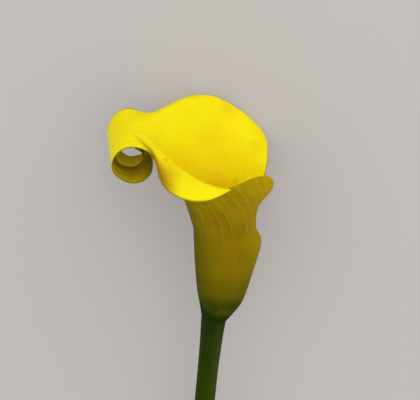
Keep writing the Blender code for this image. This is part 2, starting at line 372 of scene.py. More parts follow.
def shape_leaf(mesh):
    places = vertex_places(mesh)
    outwards = vertex_places(mesh, "normal")
    phase = across * VEINS
    to_vein = np.abs(phase - np.rint(phase))
    to_fine = np.abs(phase * FINE_COUNT - np.rint(phase * FINE_COUNT))
    strength = smooth_step(along, 0.04, 0.12) * (0.12 + 0.88 * smooth_step(along, 0.15, 0.27))
    strength *= 1 - 0.45 * smooth_step(along, 0.4, 0.55)
    own_height = VEIN_HEIGHTS[np.rint(phase).astype(int)]
    lift = RIB * strength * own_height * np.exp(-(to_vein / RIB_WIDTH) ** 2)
    lift += FINE_RIB * strength * np.exp(-(to_fine / FINE_WIDTH) ** 2)
    opened = smooth_step(along, 0.15, 0.35)
    lift += SWELLING * opened * noise_of(places * SWELLING_SCALE)
    lift += DIMPLE * noise_of(places * DIMPLE_SCALE) * strength
    lift += RIPPLE * opened * np.exp(-from_margin / RIPPLE_REACH) * noise_of(places * RIPPLE_SCALE + 7)
    # the foot is hidden in the stem and the far rim rests on the table, so both keep their shape
    height = places[:, 2] / MM
    lift *= smooth_step(height, 1.0, 5.0) * smooth_step(along, 0.0, 0.05)
    move_vertices(mesh, places + outwards * (lift * MM)[:, None])
    return lift


lift = shape_leaf(leaf.data)
print("relief in mm:", lift.min().round(2), "to", lift.max().round(2))

# %% [markdown]
# ### The wall
# The leaf is over a millimetre thick at its foot, half of that in the tongue, and rounds off to a fine
# edge at its margin. Solidify can read such a thickness from a vertex group. It gives the new, inner
# side its own finish, because a calla is one colour inside and another outside.

# %% Finishes that the leaf will wear
outside = bpy.data.materials.new("spathe_outside")
inside = bpy.data.materials.new("spathe_inside")
print("finishes so far:", outside.name, "and", inside.name)

# %% Give the leaf its wall
THICKEST = 1.25
WALL = ((0.0, 0.3), (0.045, 1.2), (0.2, 0.95), (0.3, 0.75), (0.5, 0.62), (1.0, 0.5))   # along, thickness
ROUNDED = 1.5           # width of the rounded edge
THINNEST = 0.2          # of the wall, as a share, at the very margin


def give_wall(obj):
    thickness = np.interp(along, *zip(*WALL))
    edge = np.clip(from_margin / ROUNDED, 0, 1)
    thickness *= np.maximum(THINNEST, np.sqrt(1 - (1 - edge) ** 2))
    group = obj.vertex_groups.new(name="wall")
    for index, value in enumerate(thickness / THICKEST):
        group.add([index], float(value), "REPLACE")
    obj.data.materials.append(outside)
    obj.data.materials.append(inside)
    apply_modifier(obj, "SOLIDIFY", thickness=THICKEST * MM, offset=0, vertex_group="wall",
                   material_offset=1, material_offset_rim=1)
    pick(obj)
    bpy.ops.object.shade_smooth()


give_wall(leaf)
print("leaf:", len(leaf.data.polygons), "faces, lowest point",
      (vertex_places(leaf.data)[:, 2].min() / MM).round(2), "mm")

# %% [markdown]
# ## The stem
# The stem is a solid, round, fleshy stalk. It widens right under the bloom, whose foot grows out of it,
# and it ends in one slanting knife cut. By hand this is a circle, extruded ring by ring and scaled at
# each step. The same way of working gives the core of the spadix later on.

# %% A helper: rings extruded along the flower
def extrude_rings(name, rings, sides):
    """A closed stalk through rings of (centre, radius), in millimetres on the growing flower."""
    deselect_all()
    centre, radius = rings[0]
    bpy.ops.mesh.primitive_circle_add(vertices=sides, radius=radius * MM, fill_type="NGON",
                                      location=lay(centre), rotation=LAID)
    stalk = bpy.context.object
    stalk.name = stalk.data.name = name
    bpy.ops.object.transform_apply()
    bpy.ops.object.mode_set(mode="EDIT")
    bpy.ops.mesh.select_all(action="SELECT")
    for (last_centre, last_radius), (centre, radius) in zip(rings, rings[1:]):
        step = Vector(lay(centre) - lay(last_centre))
        bpy.ops.mesh.extrude_region_move(TRANSFORM_OT_translate={"value": step})
        scale = radius / last_radius
        bpy.ops.transform.resize(value=(scale, scale, scale), center_override=lay(centre))
    bpy.ops.mesh.select_all(action="SELECT")
    bpy.ops.mesh.normals_make_consistent(inside=False)
    bpy.ops.object.mode_set(mode="OBJECT")
    return stalk


# %% The stem's rings
STEM_PROFILE = (
    # height, radius; the top is a dome inside the bloom
    (2.2, 1.6), (2.0, 3.4), (1.2, 5.0), (0.2, 6.0), (-0.8, 6.15), (-2.5, 6.05), (-5.2, 5.95), (-8.0, 5.75),
    (-11.0, 5.58), (-17.4, 5.35), (-28.0, 5.1), (-52.0, 4.97), (-104.0, 4.93), (-190.0, 4.95),
)
RING_GAP = 5.0          # largest distance between two rings


def stem_rings():
    heights, radii = zip(*STEM_PROFILE)
    stations = []
    for upper, lower in zip(heights, heights[1:]):
        parts = max(1, round((upper - lower) / RING_GAP))
        stations += [upper + (lower - upper) * i / parts for i in range(parts)]
    stations.append(heights[-1])
    rings = []
    for z in stations:
        bow = STEM_BOW * sin(pi * min(1, max(0, -z / STEM_LENGTH))) ** 2
        rings.append(((bow, 0, z), float(np.interp(-z, [-h for h in heights], radii))))
    return rings


stem = extrude_rings("stem_stalk", stem_rings(), 40)
apply_modifier(stem, "SUBSURF", levels=2, render_levels=2)
print("stem:", len(stem.data.vertices), "points")

# %% Fibres and unevenness of the stem
# height in mm, then the scale of its noise round the stem and per mm along it
FIBRE, FIBRE_SCALE, FIBRE_STRETCH = 0.035, 26 / 2.2, 0.012
LUMP, LUMP_SCALE, LUMP_STRETCH = 0.16, 0.9, 0.03


def shape_stem(mesh):
    places, outwards = vertex_places(mesh), vertex_places(mesh, "normal")
    growing = (places - lay((0, 0, 0))) / MM
    up = growing @ np.array(UP_THE_FLOWER)
    side = np.arctan2(growing[:, 2] - up * UP_THE_FLOWER.z, growing[:, 0])
    around = np.stack((np.cos(side), np.sin(side), np.zeros_like(side)), -1)
    rise = np.array((0, 0, 1)) * up[:, None]
    lift = FIBRE * noise_of(around * FIBRE_SCALE + rise * FIBRE_STRETCH)
    lift += LUMP * noise_of(around * LUMP_SCALE + rise * LUMP_STRETCH)
    lift *= smooth_step(-up, -1.5, 3.0)         # none inside the bloom
    move_vertices(mesh, places + outwards * (lift * MM)[:, None])
    return lift


lift = shape_stem(stem.data)
print("relief of the stem in mm:", lift.min().round(2), "to", lift.max().round(2))

# %% [markdown]
# The knife leaves the lower side of the stem longer than the upper side. Bisect cuts and closes the
# stem. The cut face then gets rings of its own, each extruded in place and scaled towards the middle,
# and those are made a little rough, because a knife tears the fibres. Inset would seem quicker, but on
# a face with so many short sides its new edges cross.

# %% Finishes that the stem will wear, and its knife cut
stem_skin = bpy.data.materials.new("stem_skin")
stem_flesh = bpy.data.materials.new("stem_flesh")
CUT_NORMAL = Vector((0, -cos(LIE_ANGLE - CUT_SLANT), -sin(LIE_ANGLE - CUT_SLANT)))
CUT_MIDDLE = Vector(lay((0, 0, -STEM_LENGTH)))
CUT_RINGS = (0.985, 0.95, 0.88, 0.8, 0.7, 0.6, 0.5, 0.4, 0.3, 0.2, 0.1)      # shares of the radius
BULGE = 0.06            # of the flesh beyond the skin, in mm
ON_PLANE = 0.02 * MM    # what lies this close to a plane counts as on it
MERGED = 1e-6           # bisect's usual 0.1 mm would leave the outline uneven
TEARS = ((0.07, 1400), (0.1, 420))     # depth in mm, tears per metre


def cut_stem(obj):
    obj.data.materials.append(stem_skin)
    obj.data.materials.append(stem_flesh)
    pick(obj)
    bpy.ops.object.mode_set(mode="EDIT")
    bpy.ops.mesh.select_mode(type="FACE")
    bpy.ops.mesh.select_all(action="SELECT")
    bpy.ops.mesh.bisect(plane_co=CUT_MIDDLE, plane_no=CUT_NORMAL, use_fill=True, clear_outer=True,
                        threshold=MERGED)
    bpy.ops.object.mode_set(mode="OBJECT")
    for face in obj.data.polygons:
        depth = (face.center - CUT_MIDDLE).dot(CUT_NORMAL)
        face.select = face.normal.dot(CUT_NORMAL) > 0.99 and abs(depth) < ON_PLANE
    print("faces on the cut:", sum(face.select for face in obj.data.polygons))
    bpy.ops.object.mode_set(mode="EDIT")
    middle = CUT_MIDDLE + CUT_NORMAL * (BULGE * MM)
    rise, size = BULGE, 1.0
    for share in CUT_RINGS:
        bpy.ops.mesh.extrude_region_move(TRANSFORM_OT_translate={"value": CUT_NORMAL * (rise * MM)})
        scale = share / size
        bpy.ops.transform.resize(value=(scale, scale, scale), center_override=middle)
        rise, size = 0.0, share
    bpy.ops.object.mode_set(mode="OBJECT")
    for face in obj.data.polygons:
        if abs((face.center - middle).dot(CUT_NORMAL)) < ON_PLANE:
            face.material_index = 1         # flesh
    print("faces of flesh:", sum(face.material_index for face in obj.data.polygons))
    roughen_cut(obj.data)
    bpy.ops.object.shade_smooth_by_angle(angle=radians(50))


def roughen_cut(mesh):
    places = vertex_places(mesh)
    depth = (places - np.array(CUT_MIDDLE)) @ np.array(CUT_NORMAL)
    on_cut = np.abs(depth - BULGE * MM) < ON_PLANE
    torn = sum(deep * noise_of(places[on_cut] * scale) for deep, scale in TEARS)
    places[on_cut] += np.array(CUT_NORMAL) * (torn * MM)[:, None]
    move_vertices(mesh, places)


cut_stem(stem)
print("stem:", len(stem.data.polygons), "faces, lowest point",
      (vertex_places(stem.data)[:, 2].min() / MM).round(2), "mm")

# %% [markdown]
# ## The spadix
# Deep in the funnel stands the true inflorescence: a fleshy spike set with hundreds of tiny flowers.
# The upper ones are packed golden anthers, the lower ones greenish ovaries with a stub on top. Each kind
# is modelled once from a small sphere and copied along a spiral, a golden angle apart, as plants do. A
# scatter at random would be quicker, but it leaves gaps and overlaps that no real spike has.

# %% The core of the spadix
SPADIX_LENGTH = 46.0
SPADIX_RADIUS = 3.4
SPADIX_BEND = 1.1
SPADIX_PROFILE = ((0.0, 0.72), (0.06, 0.8), (0.2, 0.8), (0.34, 0.8), (0.4, 0.84), (0.6, 0.82),
                  (0.76, 0.76), (0.88, 0.64), (0.95, 0.46), (0.985, 0.2))
golden = bpy.data.materials.new("spadix_anthers")
greenish = bpy.data.materials.new("spadix_ovaries")


def spadix_centre(z):
    return SPADIX_BEND * sin(pi / 2 * z / SPADIX_LENGTH), 0.0, z


def spadix_core():
    rings = [(spadix_centre(SPADIX_LENGTH * share), SPADIX_RADIUS * width) for share, width in SPADIX_PROFILE]
    core = extrude_rings("spadix_spike", rings, 16)
    apply_modifier(core, "SUBSURF", levels=1, render_levels=1)
    return core


core = spadix_core()
core.data.materials.append(golden)
print("core:", len(core.data.polygons), "faces")


# %% One anther and one ovary
BEAD_CUT = 0.45         # how far below its middle a bead is cut off, in radii


def floret(name, radius, height, finish, tip):
    """A small rounded bead, cut off below, with its tip pushed in (below zero) or drawn out."""
    deselect_all()
    bpy.ops.mesh.primitive_ico_sphere_add(subdivisions=2, radius=radius * MM)
    bead = bpy.context.object
    bead.name = bead.data.name = name
    bpy.ops.object.mode_set(mode="EDIT")
    bpy.ops.mesh.select_all(action="SELECT")
    bpy.ops.mesh.bisect(plane_co=(0, 0, -BEAD_CUT * radius * MM), plane_no=(0, 0, -1), use_fill=True,
                        clear_outer=True)
    bpy.ops.mesh.select_all(action="SELECT")
    bpy.ops.transform.resize(value=(1, 1, height), center_override=(0, 0, 0))
    bpy.ops.object.mode_set(mode="OBJECT")
    top = max(bead.data.vertices, key=lambda vertex: vertex.co.z)
    top.co.z += tip * MM
    bpy.ops.object.shade_smooth()
    bead.data.materials.append(finish)
    return bead


anther = floret("anther", radius=0.8, height=0.9, finish=golden, tip=-0.22)
ovary = floret("ovary", radius=1.25, height=0.85, finish=greenish, tip=0.45)
print("one anther has", len(anther.data.polygons), "faces")

# %% Florets along the spiral
GOLDEN_ANGLE = pi * (3 - sqrt(5))
OVARY_ZONE, ANTHER_ZONE = (2.0, 15.5), (17.0, 45.2)
SLIMMEST = 0.8          # the radius that the spacing never goes below
FLORET_SIZES = (0.9, 1.08)
rng = np.random.default_rng(7)


def spike_radius(z):
    return SPADIX_RADIUS * float(np.interp(z / SPADIX_LENGTH, *zip(*SPADIX_PROFILE)))


def spiral(low, high, area):
    """Heights and turns of florets that each take up the same area of the spike."""
    spots, z, n = [], low, 0
    while z < high:
        radius = spike_radius(z)
        spots.append((z, n * GOLDEN_ANGLE, radius))
        z += area / (2 * pi * max(radius, SLIMMEST))
        n += 1
    return spots


def set_florets(bead, low, high, area, sink):
    """Copies of the bead, each sunk a little into the spike and leaning as its surface does."""
    made = []
    for z, turn, radius in spiral(low, high, area):
        out = LAID.to_matrix() @ Vector((cos(turn), sin(turn), 0.0))
        out = (out + UP_THE_FLOWER * max(0.0, radius - spike_radius(z + 1))).normalized()
        x, y, _ = spadix_centre(z)
        place = Vector(lay((x, y, z))) + out * (radius - sink) * MM
        turned = out.to_track_quat("Z", "Y") @ Euler((0, 0, rng.uniform(0, 2 * pi))).to_quaternion()
        copy = bead.copy()
        copy.data = bead.data.copy()
        size = Vector((1, 1, 1)) * rng.uniform(*FLORET_SIZES)
        copy.data.transform(Matrix.LocRotScale(place, turned, size))
        bpy.context.scene.collection.objects.link(copy)
        made.append(copy)
    bpy.data.objects.remove(bead)
    return made


florets = set_florets(anther, *ANTHER_ZONE, area=1.5, sink=0.15)
florets += set_florets(ovary, *OVARY_ZONE, area=4.1, sink=0.35)
pick(core)
for piece in florets:
    piece.select_set(True)
bpy.ops.object.join()
spadix = bpy.context.object
print("spadix:", len(florets), "florets,", len(spadix.data.polygons), "faces")

# %% [markdown]
# ## Finishes
# A plant's skin is never one flat colour. Its colour changes from the foot to the lip, along each vein
# and in soft patches. It could be painted as an image, but that would blur when seen from close by. So
# every finish below is built up in layers: a colour by height on the growing flower, then patches, then
# veins, each laid over the last through a mask. A small class keeps that readable.

# %% Layers of a finish
FLESH_RADIUS = (1.0, 0.75, 0.12)        # how far red, green and blue light spread in the flesh


class Finish:
    """A material in the making. Its masks are sockets or numbers from 0 to 1."""

    def __init__(self, material, roughness, specular, translucency=0.0, reach=0.0):
        material.use_nodes = True
        self.tree = material.node_tree
        self.shader = self.tree.nodes["Principled BSDF"]
        self.colour = None
        for name, value in (("Roughness", roughness), ("Specular IOR Level", specular),
                            ("Subsurface Weight", translucency), ("Subsurface Radius", FLESH_RADIUS),
                            ("Subsurface Scale", reach * MM)):
            self.shader.inputs[name].default_value = value

    def add(self, kind, inputs=(), **settings):
        """Adds a node, and links or sets its inputs."""
        node = self.tree.nodes.new("ShaderNode" + kind)
        for name, value in settings.items():
            setattr(node, name, value)
        for socket, value in dict(inputs).items():
            if isinstance(value, bpy.types.NodeSocket):
                self.tree.links.new(value, node.inputs[socket])
            else:
                node.inputs[socket].default_value = value
        return node

    def calc(self, operation, a, b=0.0):
        return self.add("Math", {0: a, 1: b}, operation=operation).outputs[0]

    def times(self, *masks):
        """The product of masks. One that is written as a tuple goes through fade first."""
        product, *others = [self.fade(*mask) if isinstance(mask, tuple) else mask for mask in masks]
        for mask in others:
            product = self.calc("MULTIPLY", product, mask)
        return product

    def fade(self, value, start, end, low=0.0, high=1.0):
        """A soft step from low at start to high at end."""
        return self.add("MapRange", {"Value": value, "From Min": start, "From Max": end, "To Min": low,
                                     "To Max": high}, interpolation_type="SMOOTHSTEP").outputs[0]

    def cloud(self, vector, scale, detail=3.0, roughness=0.5):
        """Soft noise from 0 to 1."""
        return self.add("TexNoise", {"Vector": vector, "Scale": scale, "Detail": detail,
                                     "Roughness": roughness}).outputs["Fac"]

    def combine(self, x, y):
        return self.add("CombineXYZ", {0: x, 1: y}).outputs[0]

    def drawn_out(self, across, fine, along, coarse, detail=3.0, roughness=0.5):
        """Soft noise with its own scale across the leaf and along it."""
        flat = self.combine(self.times(across, fine), self.times(along, coarse))
        return self.cloud(flat, 1.0, detail, roughness)

    def growing_place(self):
        """The point's place on the growing flower, in metres, as a vector and as x, y and z."""
        table = self.add("TexCoord").outputs["Object"]
        turned = self.add("Mapping", {"Vector": table, "Location": tuple(lay((0, 0, 0))),
                                      "Rotation": tuple(LAID)}, vector_type="TEXTURE").outputs[0]
        return turned, self.add("SeparateXYZ", {0: turned}).outputs

    def ground(self, value, span, stops):
        """The first layer: a colour by value, through stops of (share of the span, colour)."""
        node = self.add("ValToRGB", {0: self.calc("DIVIDE", value, span)})
        node.color_ramp.interpolation = "EASE"
        elements = node.color_ramp.elements
        while len(elements) < len(stops):
            elements.new(0.5)
        for element, (place, colour) in zip(elements, stops):
            element.position = place
            element.color = (*colour, 1)
        self.colour = node.outputs[0]

    def over(self, colour, *masks):
        """Lays a colour over the one so far, where all the masks are high."""
        below = (*self.colour, 1) if isinstance(self.colour, tuple) else self.colour
        layers = {0: self.times(*masks), 6: below, 7: (*colour, 1)}
        self.colour = self.add("Mix", layers, data_type="RGBA").outputs[2]

    def wear(self, roughness=None, relief=None, depth=0.0):
        """Gives the shader its colour, its roughness and a fine relief, its depth in millimetres."""
        self.tree.links.new(self.colour, self.shader.inputs["Base Color"])
        if roughness is not None:
            self.tree.links.new(roughness, self.shader.inputs["Roughness"])
        if relief is not None:
            bump = self.add("Bump", {"Height": relief, "Distance": depth * MM, "Strength": 1.0})
            self.tree.links.new(bump.outputs[0], self.shader.inputs["Normal"])


# %% [markdown]
# ### Two coordinates for the leaf
# A streak that runs up a real leaf bends with it. Plain coordinates don't, so the finishes read the
# place that was stored on each point of the leaf before it got its thickness: across its veins and
# along them. The veins wander a little, and each is drawn with its own strength.

# %% Where a finish is on the leaf
LeafSpot = namedtuple("LeafSpot", "vector x height across along from_margin from_midrib phase to_vein own")


def leaf_spot(skin):
    """Places on the growing flower and on the leaf, the nearest vein's distance and its own strength."""
    vector, (x, _, height) = skin.growing_place()
    place = skin.add("Attribute", attribute_name="on_leaf").outputs["Vector"]
    across, along, from_margin = skin.add("SeparateXYZ", {0: place}).outputs
    from_midrib = skin.calc("ABSOLUTE", skin.calc("SUBTRACT", across, 0.5))
    wander = skin.calc("SUBTRACT", skin.drawn_out(across, 9.0, along, 14.0), 0.5)
    phase = skin.calc("ADD", skin.times(across, float(VEINS)), skin.times(wander, 0.22))
    to_vein = skin.calc("PINGPONG", phase, 0.5)
    number = skin.calc("FLOOR", skin.calc("ADD", phase, 0.5))
    own = skin.add("TexWhiteNoise", {"W": number}, noise_dimensions="1D").outputs["Value"]
    return LeafSpot(vector, x, height, across, along, from_margin, from_midrib, phase, to_vein, own)


def specks(skin, vector, scale):
    """A few small dark specks: cells of a Voronoi pattern, most of them left out."""
    node = skin.add("TexVoronoi", {"Vector": vector, "Scale": scale})
    chosen = skin.add("SeparateColor", {0: node.outputs["Color"]}).outputs[0]
    spot = skin.fade(node.outputs["Distance"], 0.09, 0.03)
    return skin.times(spot, skin.calc("GREATER_THAN", chosen, 0.93), 0.55)


def skin_relief(skin, spot):
    """Fine parallel ribs between the veins, with the grain of the skin's cells."""
    ribs = skin.times(skin.calc("PINGPONG", skin.times(spot.phase, 6.0), 0.5),
                      skin.cloud(spot.vector, 300.0, 2.0))
    grain = skin.cloud(spot.vector, 1500.0, 2.0)
    return skin.calc("ADD", skin.times(ribs, 0.9), skin.times(grain, 0.5))


print("the finishes of the leaf read", len(LeafSpot._fields), "measures at each point")

# %% [markdown]
# ### Outside of the spathe
# The outside is a dull ochre, painted darker than the leaf's own colour as painted shade, since it is turned
# from the light, and a little lighter on the seam side as painted light. The stem's green runs up into its
# foot in ragged streaks, highest along the midrib, where it is partly painted shade too. It turns olive again
# on the rolled tip, partly its own green and partly painted shade inside the roll. The roll is painted a
# lighter ochre and its innermost turn gold, both painted light, and its edge a dark line of painted shade.
# Thin pale veins show in the upper half. One ramp of colours could not do this, because the greens follow the
# leaf while the ochre follows the height, so each is a layer with a mask of its own.

# %% Colours of the outside
# painted shade: these ochres are darker than the leaf's own colour, because the outside is turned from the
# light
OCHRES_WITH_SHADE = (              # height in tenths of a metre, colour
    (0.0, (0.014, 0.024, 0.0003)), (0.1, (0.036, 0.041, 0.0003)), (0.2, (0.132, 0.107, 0.0006)),
    (0.35, (0.215, 0.153, 0.0006)), (0.58, (0.27, 0.178, 0.0006)), (0.86, (0.41, 0.282, 0.0008)),
)
BROWN_PATCH, OLIVE_PATCH = (0.25, 0.122, 0.0012), (0.15, 0.122, 0.001)
SEAM_SIDE_PAINTED_LIGHT, ROLL_PAINTED_LIGHT = (0.43, 0.305, 0.0006), (0.82, 0.56, 0.003)
LIGHT_STREAK, DARK_STREAK = (0.3, 0.225, 0.0008), (0.125, 0.098, 0.0005)
MIDRIB_GREEN_AND_SHADE, OLIVE_AND_ROLL_SHADE = (0.06, 0.08, 0.0004), (0.054, 0.102, 0.0005)
FOOT_GREEN, STEM_SHADE_GREEN = (0.045, 0.055, 0.0005), (0.0105, 0.027, 0.0005)
INNER_TURN_PAINTED_LIGHT, BRIGHT_LIP = (0.95, 0.7, 0.003), (0.55, 0.42, 0.004)
PALE_VEIN, FINE_VEIN = (0.52, 0.42, 0.02), (0.4, 0.31, 0.006)
ROLL_RIM_SHADE, DARK_SPECK = (0.085, 0.085, 0.001), (0.075, 0.045, 0.001)
print("ochres from", OCHRES_WITH_SHADE[0][1], "at the foot to", OCHRES_WITH_SHADE[-1][1], "at the lip")


# %% Outside: ochre, patches and streaks
def outside_ground(skin, spot):
    skin.ground(spot.height, 0.1, OCHRES_WITH_SHADE)
    patches = skin.cloud(spot.vector, 95.0, 3.0)
    skin.over(BROWN_PATCH, (patches, 0.42, 0.62), (spot.height, 0.014, 0.038, 0.0, 0.35))
    patches = skin.cloud(spot.vector, 62.0, 2.0)
    skin.over(OLIVE_PATCH, (patches, 0.48, 0.66), 0.4)
    # painted light: the seam side of the outside is painted a lighter ochre
    skin.over(SEAM_SIDE_PAINTED_LIGHT, (spot.across, 0.76, 0.96), (spot.height, 0.02, 0.05), 0.55)
    # the midrib's own green, spread wide enough to serve as painted shade on that flank as well
    skin.over(MIDRIB_GREEN_AND_SHADE, (spot.from_midrib, 0.23, 0.0), (spot.height, 0.095, 0.03), 0.9)
    # painted light: the rolled tip is painted a much lighter ochre, to make up for the light that the roll
    # shuts out
    skin.over(ROLL_PAINTED_LIGHT, (spot.along, 0.54, 0.64))
    streaks = skin.drawn_out(spot.across, 46.0, spot.height, 22.0, 2.0)
    shown = skin.fade(spot.height, 0.012, 0.045, 0.0, 0.22)
    skin.over(LIGHT_STREAK, (streaks, 0.5, 0.75), shown)
    skin.over(DARK_STREAK, (streaks, 0.5, 0.28), shown)


# %% Outside: the greens of its two ends, and painted light and shade on the roll
def tip_green_and_shade(skin, spot):
    """How green the outside is towards the tip: long streaks of its own green, and inside the roll broad
    patches and a band along the midrib that are partly its own green and partly painted shade.
    """
    streaks = skin.drawn_out(spot.across, 90.0, spot.along, 7.0, 3.0, 0.6)
    streaks = skin.times((streaks, 0.42, 0.58), (spot.along, 0.55, 0.66), 0.4)
    # inside the roll the green is partly the leaf's own and partly painted shade, in a broad patch and a band
    # along the midrib
    green_and_shade_patch = skin.times((spot.along, 0.7, 0.755), (spot.along, 0.865, 0.82, 0.0, 0.95))
    green_and_shade_patch = skin.calc("MAXIMUM", green_and_shade_patch, skin.fade(spot.along, 0.92, 0.955, 0.0, 0.7))
    midrib = skin.times((spot.from_midrib, 0.19, 0.06), (spot.along, 0.66, 0.71, 0.0, 0.42),
                        (spot.along, 0.895, 0.86))
    return skin.calc("MAXIMUM", streaks, skin.calc("MAXIMUM", green_and_shade_patch, midrib))


def outside_ends(skin, spot):
    skin.over(OLIVE_AND_ROLL_SHADE, tip_green_and_shade(skin, spot))
    # the stem's green reaches up in ragged streaks
    ragged = skin.drawn_out(spot.across, 75.0, spot.height, 160.0, 4.0, 0.6)
    reach = skin.calc("ADD", skin.times((spot.from_midrib, 0.24, 0.0), 0.006), skin.times(ragged, 0.0075))
    above = skin.calc("SUBTRACT", spot.height, reach)
    skin.over(FOOT_GREEN, (above, 0.0125, -0.001, 0.0, 0.55))
    skin.over(STEM_SHADE_GREEN, (above, 0.003, -0.001))
    # painted light: the innermost turn of the roll is painted a bright gold, where light shines through the
    # leaf
    skin.over(INNER_TURN_PAINTED_LIGHT, (spot.along, 0.845, 0.875), (spot.along, 0.955, 0.92, 0.0, 0.8))


# %% Outside: veins, lip and edge
def outside_lines(skin, spot):
    skin.over(PALE_VEIN, (spot.to_vein, 0.07, 0.02), (spot.height, 0.04, 0.07),
              (spot.own, 0.0, 1.0, 0.24, 0.44))
    to_fine = skin.calc("PINGPONG", skin.times(spot.phase, 4.0), 0.5)
    broken = skin.cloud(spot.vector, 260.0, 2.0)
    skin.over(FINE_VEIN, (to_fine, 0.25, 0.05), (broken, 0.35, 0.65), (spot.height, 0.02, 0.06, 0.01, 0.12))
    # the thin lip lets light through
    skin.over(BRIGHT_LIP, (spot.from_margin, 0.0018, 0.0, 0.0, 0.45),
              (spot.along, 0.5, 0.45), (spot.height, 0.022, 0.045))
    # painted shade: a dark line along the edge of the roll
    skin.over(ROLL_RIM_SHADE, (spot.from_margin, 0.0007, 0.0001), (spot.along, 0.62, 0.72, 0.0, 0.85))
    skin.over(DARK_SPECK, specks(skin, spot.vector, 150.0))


# %% Finish: outside of the spathe
def finish_outside():
    skin = Finish(outside, roughness=0.55, specular=0.02, translucency=0.1, reach=0.6)
    spot = leaf_spot(skin)
    outside_ground(skin, spot)
    outside_ends(skin, spot)
    outside_lines(skin, spot)
    skin.wear(skin.fade(skin.cloud(spot.vector, 400.0), 0.2, 0.8, 0.47, 0.65),
              skin_relief(skin, spot), depth=0.05)


finish_outside()
print("outside:", len(outside.node_tree.nodes), "nodes")

# %% [markdown]
# ### Inside of the spathe
# The inside is a clear lemon yellow on the tongue and the lip. It deepens to gold in the throat, partly its
# own colour and partly painted shade, which reaches higher on the tongue's side. It has faint streaks that
# follow the veins, shallow darker grooves on the tongue and a few brown specks. Most of the soft tanned spots
# are painted shade where the leaf turns from the light, and the brown margin beside the roll is painted shade
# where the roll covers it; the three smallest spots are brown marks. Noise alone would put such marks
# anywhere, so each spot is a ball that fades out round its own point.

# %% Colours of the inside
LEMON, GOLD = (0.935, 0.8, 0.0035), (0.88, 0.6, 0.003)
YELLOWS_AND_THROAT_SHADE = (             # height in tenths of a metre, colour
    (0.05, (0.66, 0.56, 0.0025)), (0.2, (0.8, 0.6, 0.003)), (0.4, (0.86, 0.62, 0.003)),
    (0.58, (0.88, 0.655, 0.003)), (0.705, LEMON),
)
WARM_STREAK, WARM_PATCH = (0.9, 0.7, 0.003), (0.9, 0.68, 0.003)
SPOT_TAN_AND_SHADE, BROWN_ROLL_SHADE, BROWN_SPECK = (0.7, 0.42, 0.003), (0.33, 0.175, 0.003), (0.45, 0.3, 0.004)
GREEN_EDGE, INNER_ROLL_EDGE_SHADE = (0.17, 0.16, 0.003), (0.11, 0.105, 0.001)
# painted shade: most of these spots stand for shade where the leaf turns from the light; the three smallest
# are brown marks of the leaf
TANNED_AND_SHADED_SPOTS = (              # centre on the growing flower and radius in mm, strength
    ((-33.0, -28.0, 84.0), 12.0, 0.55), ((-31.0, -24.0, 87.5), 11.0, 0.5), ((-6.0, 36.0, 96.5), 8.0, 0.3),
    ((10.0, 24.0, 83.0), 6.0, 0.3), ((-24.0, -6.0, 66.0), 16.0, 0.35), ((2.1, 16.5, 66.6), 2.2, 0.5),
    ((-50.2, 12.8, 95.0), 1.2, 1.0), ((-32.4, -16.0, 89.8), 1.8, 0.9),
)
print("tanned spots:", len(TANNED_AND_SHADED_SPOTS))


# %% Inside: yellows, streaks and tanned spots
def inside_ground(skin, spot):
    # painted shade: the throat's gold, partly its own colour and partly painted shade, reaches further up on
    # the side of the tongue
    shade_towards_tongue = skin.times(spot.x, (spot.along, 0.44, 0.58, 0.6, 0.0))
    skin.ground(skin.calc("ADD", spot.height, shade_towards_tongue), 0.1, YELLOWS_AND_THROAT_SHADE)
    streaks = skin.drawn_out(spot.across, 110.0, spot.along, 9.0)
    skin.over(WARM_STREAK, (streaks, 0.45, 0.75, 0.0, 0.35))
    skin.over(WARM_PATCH, (skin.cloud(spot.vector, 48.0, 2.0), 0.5, 0.75, 0.0, 0.35))
    mottled = skin.fade(skin.cloud(spot.vector, 150.0, 3.0, 0.6), 0.35, 0.7, 0.7, 1.0)
    for centre, radius, strength in TANNED_AND_SHADED_SPOTS:
        middle = tuple(c * MM for c in centre)
        away = skin.add("VectorMath", {0: spot.vector, 1: middle}, operation="DISTANCE").outputs["Value"]
        skin.over(SPOT_TAN_AND_SHADE, (away, radius * MM, radius * MM * 0.2, 0.0, strength), mottled)


# %% Inside: brown margin, grooves and edges
def inside_lines(skin, spot):
    # painted shade: the margin beside the roll is painted brown, where the roll shades it
    skin.over(BROWN_ROLL_SHADE, (spot.along, 0.455, 0.5), (spot.along, 0.568, 0.54),
              (spot.across, 0.5, 0.52), (spot.from_margin, 0.0175, 0.002))
    skin.over(GOLD, (spot.to_vein, 0.34, 0.02), (spot.along, 0.36, 0.52, 0.08, 0.3), (spot.own, 0.2, 1.0))
    # a fine green edge on the far rim and beside the roll, and along the roll a darker one, which is painted
    # shade
    green_edge = skin.calc("MAXIMUM", skin.fade(spot.across, 0.5, 0.4), skin.fade(spot.along, 0.41, 0.44))
    skin.over(GREEN_EDGE, (spot.from_margin, 0.0012, 0.0001, 0.0, 0.85), green_edge)
    skin.over(INNER_ROLL_EDGE_SHADE, (spot.from_margin, 0.0004, 0.0001), (spot.along, 0.62, 0.72, 0.0, 0.95))
    # the rim is green at the foot, like the outside round it
    skin.over(FOOT_GREEN, (spot.from_margin, 0.0012, 0.0004), (spot.height, 0.042, 0.022))
    skin.over(BROWN_SPECK, specks(skin, spot.vector, 105.0))


# %% Finish: inside of the spathe
def finish_inside():
    skin = Finish(inside, roughness=0.5, specular=0.05, translucency=0.12, reach=0.6)
    spot = leaf_spot(skin)
    inside_ground(skin, spot)
    inside_lines(skin, spot)
    skin.wear(skin.fade(skin.cloud(spot.vector, 400.0), 0.2, 0.8, 0.43, 0.6),
              skin_relief(skin, spot), depth=0.035)


finish_inside()
print("inside:", len(inside.node_tree.nodes), "nodes")

